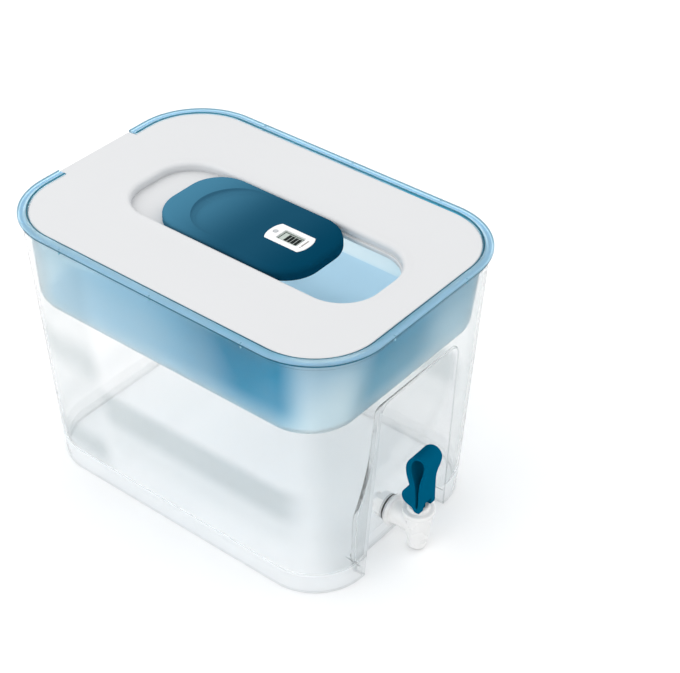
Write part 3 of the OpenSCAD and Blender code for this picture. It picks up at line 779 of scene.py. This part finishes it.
MY0, MY1 = -60.0, -19.0


def memo_out(o, n=12):
    w = 12 - o
    out = [(w * (1 - 2 * i / n), MY1 - o - 3.4 * abs(w * (1 - 2 * i / n) / 12) ** 2.6) for i in range(n + 1)]
    out += [(w * (2 * i / n - 1), MY0 + o + 3.4 * abs(w * (2 * i / n - 1) / 12) ** 2.6) for i in range(n + 1)]
    return out


body = [cov(2.2, 247.0), cov(0.4, 247.0), cov(0.1, 247.15), cov(0, 247.5), cov(0, 250.5)]
body += [cov(5.5 * (1 - math.cos(rad(t))), CZ - 5.5 + 5.5 * math.sin(rad(t))) for t in range(9, 91, 9)]
top_r = body[-1]
body += [cov(5.5 + k, CZ + 0.0, 20) for k in (4.0,)]
v, f = loft(body, cap0=True, cap1=True)
cover = make("cover_shell", v, f, sharp=40)
inner = make("cut", *loft([at(rr(CW - 2.2, CY0 + 2.2, CY1 - 2.2, 30.8, 14), 240), at(rr(CW - 2.2, CY0 + 2.2, CY1 - 2.2, 30.8, 14), 250.4)]))
boolean(cover, inner)
front = make("cut", *loft([at(rr(CW - 4.2, CY0 + 4.2, 3.0, 28.0, 14, rb=3.0), 249), at(rr(CW - 4.2, CY0 + 4.2, 3.0, 28.0, 14, rb=3.0), 255.4)]))
boolean(cover, front)


def scoop_cut():
    """A tilted round cutter with a rounded lower edge."""
    tl = rad(-6.6)
    prof_ = [(0.0, 0.0)] + [(34.6, 0.0)] + [(38.0 - 3.4 + 3.4 * math.sin(rad(t)), 3.4 - 3.4 * math.cos(rad(t))) for t in range(15, 91, 15)] + [(38.0, 15.0), (0.0, 15.0)]
    n = 128
    verts, faces = [], []
    ring_ids = []
    for r, h in prof_:
        if r == 0.0:
            ring_ids.append([len(verts)])
            verts.append((0.0, 9.3, h))
        else:
            ring_ids.append(list(range(len(verts), len(verts) + n)))
            for i in range(n):
                t = 2 * math.pi * i / n
                verts.append((r * math.cos(t), 9.3 + r * math.sin(t), h))
    for a, b in zip(ring_ids[:-1], ring_ids[1:]):
        for i in range(n):
            j = (i + 1) % n
            if len(a) == 1:
                faces.append((a[0], b[j], b[i]))
            elif len(b) == 1:
                faces.append((a[i], a[j], b[0]))
            else:
                faces.append((a[i], a[j], b[j], b[i]))
    out = []
    for x, y, z in verts:
        yy, zz = y * math.cos(tl) - z * math.sin(tl), y * math.sin(tl) + z * math.cos(tl)
        out.append((x, 8.0 + yy, CZ + zz))
    return make("cut", out, faces)


boolean(cover, scoop_cut())
win = make("cut", *loft([at(memo_out(-0.15), 249), at(memo_out(-0.15), 262)]))
boolean(cover, win)
bevel(cover, 0.45, 3, angle=40)
shade(cover, 42)
even_out(cover)
tong = None
for s in (-1, 1):
    t = make("tongue", *loft([at(rr(1.1, -40, 40, 0.8, 4), z) for z in (247.0, 248.7)]))
    for q in t.data.vertices:
        q.co.x += s * (CW + 0.75) * MM
    tong = t if tong is None else join(tong, t)
cover = join(cover, tong)
dress(cover, M["slider"], "cover", ["slider"])

# ------------------------------------------------------------------ indicator


mh = [at(memo_out(1.4), 250.0), at(memo_out(0.0), 250.0), at(memo_out(0.0), 258.0), at(memo_out(0.12), 258.3), at(memo_out(0.5), 258.5)]
v, f = loft(mh, cap0=True, cap1=True)
housing = make("indicator_housing", v, f, sharp=40)
c1 = make("cut", *loft([at(memo_out(1.4), 249), at(memo_out(1.4), 257.1)]))
boolean(housing, c1)
c2 = make("cut", *loft([at(rr(6.8, -51.5, -30.0, 1.0, 4), 250), at(rr(6.8, -51.5, -30.0, 1.0, 4), 262)]))
boolean(housing, c2)
c3 = turned("cut", [(2.3, 250), (2.3, 262)], 32, loop=False, cy=-24.6)
boolean(housing, c3)
bevel(housing, 0.18, 2, angle=40)
shade(housing, 40)
even_out(housing)
dress(housing, M["trim"], "cover", ["memo_housing"])

screen = make("indicator_screen", *loft([at(rr(8.2, -53, -29, 0.8, 4), 256.0), at(rr(8.2, -53, -29, 0.8, 4), 257.0)]))
bevel(screen, 0.15, 2)
dress(screen, M["display"], "cover", ["memo_display"])


def pad(name, x0, x1, y0, y1, z0, z1, r=0.4):
    a = (x1 - x0) / 2
    o = make(name, *loft([at([(x + (x0 + x1) / 2, y) for x, y in rr(a, y0, y1, min(r, a * 0.9, (y1 - y0) * 0.45), 3)], z) for z in (z0, z1)]))
    return o


# dark frame and bars on the display
segs = None
parts_ = []
for x0, x1, y0, y1 in [(-5.9, 5.9, -50.6, -49.9), (-5.9, 5.9, -31.6, -30.9), (-5.9, -5.2, -50.6, -30.9), (5.2, 5.9, -50.6, -30.9)]:
    parts_.append((x0, x1, y0, y1))
for k in range(4):
    parts_.append((-4.5, 4.5, -49.2 + 3.4 * k, -46.3 + 3.4 * k))
for q in parts_:
    b = pad("seg", *q, 256.98, 257.06, 0.2)
    segs = b if segs is None else join(segs, b)
segs.name = "indicator_bars"
dress(segs, M["ink"], "cover")
mark = join(pad("indicator_mark", -4.4, 5.4, -55.7, -54.3, 258.48, 258.53, 0.3), pad("mark", -6.6, -5.4, -55.7, -54.4, 258.48, 258.53, 0.5))
dress(mark, M["grey_mark"], "cover")

btn = turned("indicator_button", [(0.0, 255.4), (2.8, 255.4), (2.8, 256.2), (2.0, 256.2), (2.0, 258.55), (1.7, 258.82), (0.0, 258.9)], 32, loop=False, cy=-24.6)
dress(btn, M["button"], "memo_button", ["memo_button"])

# ------------------------------------------------------------------ tap


def smooth_loop(pts, n=6):
    """Closed Catmull-Rom curve through pts."""
    out, m = [], len(pts)
    for i in range(m):
        q = [pts[(i + k) % m] for k in (-1, 0, 1, 2)]
        for j in range(n):
            t = j / n
            out.append(tuple(0.5 * (2 * q[1][k] + (q[2][k] - q[0][k]) * t + (2 * q[0][k] - 5 * q[1][k] + 4 * q[2][k] - q[3][k]) * t * t
                                    + (3 * q[1][k] - q[0][k] - 3 * q[2][k] + q[3][k]) * t ** 3) for k in (0, 1)))
    return out


spout = [(5.2, 3.2), (7.6, 3.2), (8.1, 3.45), (8.4, 4.0), (9.9, 17), (11.0, 26), (12.1, 33.5), (12.7, 36.8), (12.8, 38.1), (12.6, 38.4), (9.2, 38.4), (9.2, 22), (5.2, 22)]
sp = turned("tap_spout", spout, 72, cy=TAP_Y)
barrel = turned("barrel", [(0.0, TAP_Y), (10.9, TAP_Y), (11.0, YW - 7.4), (11.5, YW - 6.2), (12.5, YW - 5.6), (13.8, YW - 5.4), (14.3, YW - 5.1), (14.5, YW - 4.6), (14.5, YW - 2.6), (14.2, YW - 2.1), (7.3, YW - 2.1),
                           (7.3, YW + 4.6)] + [p for i in range(6) for p in ((7.3, YW + 4.8 + 2.3 * i), (7.55, YW + 5.2 + 2.3 * i), (7.55, YW + 5.9 + 2.3 * i), (7.3, YW + 6.3 + 2.3 * i))] + [(7.3, YW + 18.4), (6.7, YW + 19), (0.0, YW + 19)],
                72, loop=False, axis="y", z0=TAP_Z)
c = turned("cut", [(9.2, 22), (9.2, 60)], 72, loop=False, cy=TAP_Y)
c0 = turned("cut", [(5.2, -5), (5.2, 60)], 72, loop=False, cy=TAP_Y)
boolean(barrel, c)
boolean(barrel, c0)
boolean(sp, barrel, "UNION")
bore = turned("cut", [(5.0, TAP_Y), (5.0, YW + 30)], 48, loop=False, axis="y", z0=TAP_Z)
boolean(sp, bore)
shade(sp, 38)
even_out(sp)
dress(sp, M["tap"], "tank", ["tap_body"])

bon = turned("tap_collar", [(5.35, 36.0), (7.6, 36.0), (7.6, 33.0), (9.0, 33.0), (9.0, 38.5), (12.6, 38.5), (13.2, 38.75), (13.7, 39.6), (14.0, 41.6), (14.0, 42.7), (13.75, 43.45), (13.2, 43.9), (12.5, 44.0), (11.2, 44.0),
                            (10.2, 44.2), (9.6, 44.9), (9.3, 46.4), (8.9, 47.2), (8.2, 47.6), (6.2, 47.6), (5.6, 47.4), (5.35, 46.9)], 72, cy=TAP_Y)
dress(bon, M["tap"], "tank", ["tap_bonnet"])

# lever: a loop drawn in to two cheeks, with a lobe behind and cam feet in front
LEVER = [(-13.4, 99.5), (-12.9, 103.9), (-10.2, 107.5), (-5.8, 109), (-1.4, 107.9), (2.6, 104.8), (5.5, 100.4), (7, 95.5), (7.1, 90.5), (6, 84.5), (4.2, 79), (3.2, 75.6), (4.4, 72.2), (7.6, 68.6), (9.8, 64.8),
         (10.3, 60.8), (9, 57), (5.9, 54.4), (3.2, 53.5), (0.8, 52.8), (-1, 51.9), (-1.9, 50.4), (-3.1, 49), (-5.4, 48.6), (-7.6, 48.8), (-8.5, 50), (-8.6, 53), (-8.5, 60), (-8.4, 69), (-8.6, 77), (-9.9, 85), (-12, 92)]
EYE = [(-10.9, 100.5), (-10.3, 104), (-8.2, 106.3), (-5, 106.5), (-1.9, 104.9), (0.4, 101.8), (1.5, 97.5), (1.3, 92.5), (0, 86.5), (-1.8, 80.5), (-3.1, 74.5), (-3.8, 67), (-4.1, 59), (-4.5, 54.4), (-5.3, 53.4),
       (-6.1, 54.4), (-6.5, 59), (-6.5, 67), (-6.6, 75), (-7.3, 82), (-8.8, 88.5), (-10.3, 94.5)]
W = 22.6
lv = extrude_x("tap_handle", [(TAP_Y + y, z) for y, z in smooth_loop(LEVER)], W)
boolean(lv, extrude_x("cut", [(TAP_Y + y, z) for y, z in smooth_loop(EYE)], 40))
bevel(lv, 0.8, 3, angle=50)
boolean(lv, extrude_x("cut", [(TAP_Y - 30, 30), (TAP_Y + 30, 30), (TAP_Y + 30, 64), (TAP_Y - 7.3, 64), (TAP_Y - 7.3, 56), (TAP_Y - 30, 56)], 11.4))
boolean(lv, extrude_x("cut", [(TAP_Y + 1.72 * math.cos(rad(10 * i)), 56 + 1.72 * math.sin(rad(10 * i))) for i in range(36)], 20.4))
shade(lv, 42)
even_out(lv)
dress(lv, M["lever"], "tap_lever", ["tap_lever"])

# ------------------------------------------------------------------ spring

def coil(turns, r, w, z0, z1, cy, n=10, per=24):
    """Round wire wound about the vertical line at cy."""
    rings = []
    for k in range(turns * per + 1):
        a = 2 * math.pi * k / per
        z = lerp(z0, z1, k / (turns * per))
        rings.append([((r + w * math.cos(2 * math.pi * i / n)) * math.cos(a), cy + (r + w * math.cos(2 * math.pi * i / n)) * math.sin(a), z + w * math.sin(2 * math.pi * i / n)) for i in range(n)])
    return rings


v, f = loft(coil(4, 6.55, 0.36, 27.95, 35.45, TAP_Y))
spring = make("spring_wire", v, f, 40)
spring.data.materials.append(M["steel"])
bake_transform(spring)
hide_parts("tap_spring")

# ------------------------------------------------------------------ carried-over nodes

for n_, m_ in [("memo_board", "board"), ("memo_battery", "steel"), ("memo_back_cover", "trim"), ("cartridge_body", "cart"), ("cartridge_cap", "trim"),
               ("cartridge_ring", "trim"), ("cartridge_media", "media"), ("cartridge_mesh_top", "mesh"), ("cartridge_mesh_bottom", "mesh"), ("cartridge_seal", "seal"),
               ("tap_stem", "lever"), ("tap_stem_ring", "seal"), ("tap_lever_pin", "steel"), ("tap_valve_seal", "seal"),
               ("tap_gasket_outer", "gasket"), ("tap_gasket_inner", "gasket"), ("tap_nut", "tap")]:
    dress_node(n_, M[m_])

# ------------------------------------------------------------------ stage, lights, camera

floor_m, nt, b = new_mat("floor")
f_ = noise(nt, 3.0, 2.0)
nt.links.new(ramp(nt, f_, [(0.3, (0.965, 0.965, 0.965)), (0.7, (0.975, 0.975, 0.975))]), b.inputs["Base Color"])
b.inputs["Roughness"].default_value = 0.55
b.inputs["Specular IOR Level"].default_value = 0.25
b.inputs["Emission Color"].default_value = (1.0, 1.0, 1.0, 1.0)
b.inputs["Emission Strength"].default_value = 0.015
me = bpy.data.meshes.new("floor")
S = 6.0
me.from_pydata([(-S, -S, 0), (S, -S, 0), (S, S, 0), (-S, S, 0)], [], [(0, 1, 2, 3)])
floor = bpy.data.objects.new("floor", me)
bpy.context.scene.collection.objects.link(floor)
floor.data.materials.append(floor_m)
floor.location.z = -0.0002

sc = bpy.context.scene
sc.cycles.max_bounces = 20
sc.cycles.transmission_bounces = 20
sc.cycles.diffuse_bounces = 6
sc.cycles.transparent_max_bounces = 24
sc.view_settings.view_transform = "Standard"
sc.view_settings.look = "None"
w = bpy.data.worlds.new("studio")
sc.world = w
w.use_nodes = True
wn = w.node_tree
bg = wn.nodes["Background"]
tc = wn.nodes.new("ShaderNodeTexCoord")
sep = wn.nodes.new("ShaderNodeSeparateXYZ")
wn.links.new(tc.outputs["Generated"], sep.inputs[0])
r_ = wn.nodes.new("ShaderNodeValToRGB")
mr = wn.nodes.new("ShaderNodeMapRange")
mr.inputs["From Min"].default_value = -0.2
mr.inputs["From Max"].default_value = 1.0
wn.links.new(sep.outputs["Z"], mr.inputs["Value"])
wn.links.new(mr.outputs["Result"], r_.inputs["Fac"])
el = r_.color_ramp.elements
el[0].position, el[0].color = 0.0, (0.64, 0.65, 0.66, 1)
el[1].position, el[1].color = 1.0, (1.0, 1.0, 1.0, 1)
e2 = el.new(0.3)
e2.color = (0.79, 0.80, 0.81, 1)
e3 = el.new(0.6)
e3.color = (0.985, 0.985, 0.985, 1)
wn.links.new(r_.outputs["Color"], bg.inputs["Color"])
bg.inputs["Strength"].default_value = 1.05


def area(name, loc, target, size, power, color=(1, 1, 1), size_y=None):
    d = bpy.data.lights.new(name, "AREA")
    d.energy = power
    d.color = color
    d.size = size
    if size_y:
        d.shape = "RECTANGLE"
        d.size_y = size_y
    o = bpy.data.objects.new(name, d)
    sc.collection.objects.link(o)
    o.location = loc
    o.rotation_euler = (Vector(target) - Vector(loc)).to_track_quat("-Z", "Y").to_euler()
    return o


area("key", (-0.9, 1.0, 1.9), (0, 0, 0.15), 1.6, 9.0)
area("side", (-1.9, 0.1, 0.9), (0, 0, 0.15), 1.2, 7.0, size_y=1.0)
area("right", (1.6, -0.9, 1.3), (0, 0, 0.1), 1.2, 6.0)

cam_d = bpy.data.cameras.new("camera")
cam_d.sensor_fit = "HORIZONTAL"
cam_d.sensor_width = 36.0
cam_d.lens = 1716.6 / 680.0 * 36.0
cam_d.clip_start, cam_d.clip_end = 0.05, 30.0
cam = bpy.data.objects.new("camera", cam_d)
sc.collection.objects.link(cam)
sc.camera = cam
a_, e_ = rad(-51.686), rad(37.437)
back = Vector((math.sin(a_) * math.cos(e_), -math.cos(a_) * math.cos(e_), math.sin(e_)))
tgt = Vector((38.74, -61.35 + YM, 145.65)) * MM
cam.location = tgt + back * 1.46313
right = (-back).cross(Vector((0, 0, 1))).normalized()
up = right.cross(-back).normalized()
ro = rad(0.528)
R_ = right * math.cos(ro) + up * math.sin(ro)
U_ = -right * math.sin(ro) + up * math.cos(ro)
from mathutils import Matrix
rot = Matrix((R_, U_, back)).transposed()
cam.rotation_euler = rot.to_euler()
